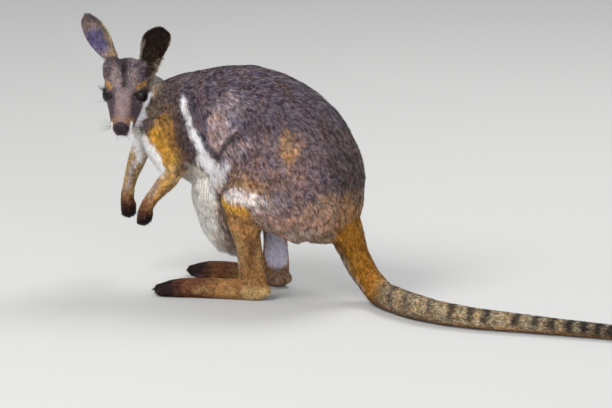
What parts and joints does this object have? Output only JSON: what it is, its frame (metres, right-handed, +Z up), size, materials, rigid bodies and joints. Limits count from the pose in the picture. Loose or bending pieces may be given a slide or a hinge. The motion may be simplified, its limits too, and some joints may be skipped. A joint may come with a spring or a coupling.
{
  "type": "rock wallaby",
  "caption": "Life-size still model of a yellow-footed rock-wallaby resting on its hind feet, arms hanging, head turned to its left, ringed tail laid out behind.",
  "frame": {"origin": "middle of the footprint's box on the floor under the hind feet and the tail", "axes": "+Z up; the trunk points along -X and the tail runs back along +X; the animal's left side is towards -Y"},
  "size_m": [0.908, 0.2002, 0.3648],
  "materials": {
    "coat": "short dense fur, grizzled grey-brown with orange, cream and dark markings",
    "eye": "wet gloss",
    "nose": "fine pebbled, slightly moist",
    "claw": "satin horn"
  },
  "bodies": {
    "root": {"head": "coat", "neck": "coat", "trunk": "coat", "tail_1": "coat", "tail_2": "coat", "tail_3": "coat", "tail_4": "coat", "ear_L": "coat", "ear_R": "coat", "eye_L": "eye", "eye_R": "eye", "nose": "nose", "upper_arm_L": "coat", "forearm_L": "coat", "hand_L": "coat", "thigh_L": "coat", "shank_L": "coat", "foot_L": "coat", "claw_hand_L_1": "claw", "claw_hand_L_2": "claw", "claw_hand_L_3": "claw", "claw_hand_L_4": "claw", "claw_hand_L_5": "claw", "claw_foot_L_long": "claw", "claw_foot_L_outer": "claw", "claw_foot_L_twin_a": "claw", "claw_foot_L_twin_b": "claw", "upper_arm_R": "coat", "forearm_R": "coat", "hand_R": "coat", "thigh_R": "coat", "shank_R": "coat", "foot_R": "coat", "claw_hand_R_1": "claw", "claw_hand_R_2": "claw", "claw_hand_R_3": "claw", "claw_hand_R_4": "claw", "claw_hand_R_5": "claw", "claw_foot_R_long": "claw", "claw_foot_R_outer": "claw", "claw_foot_R_twin_a": "claw", "claw_foot_R_twin_b": "claw"}
  },
  "joints": []
}
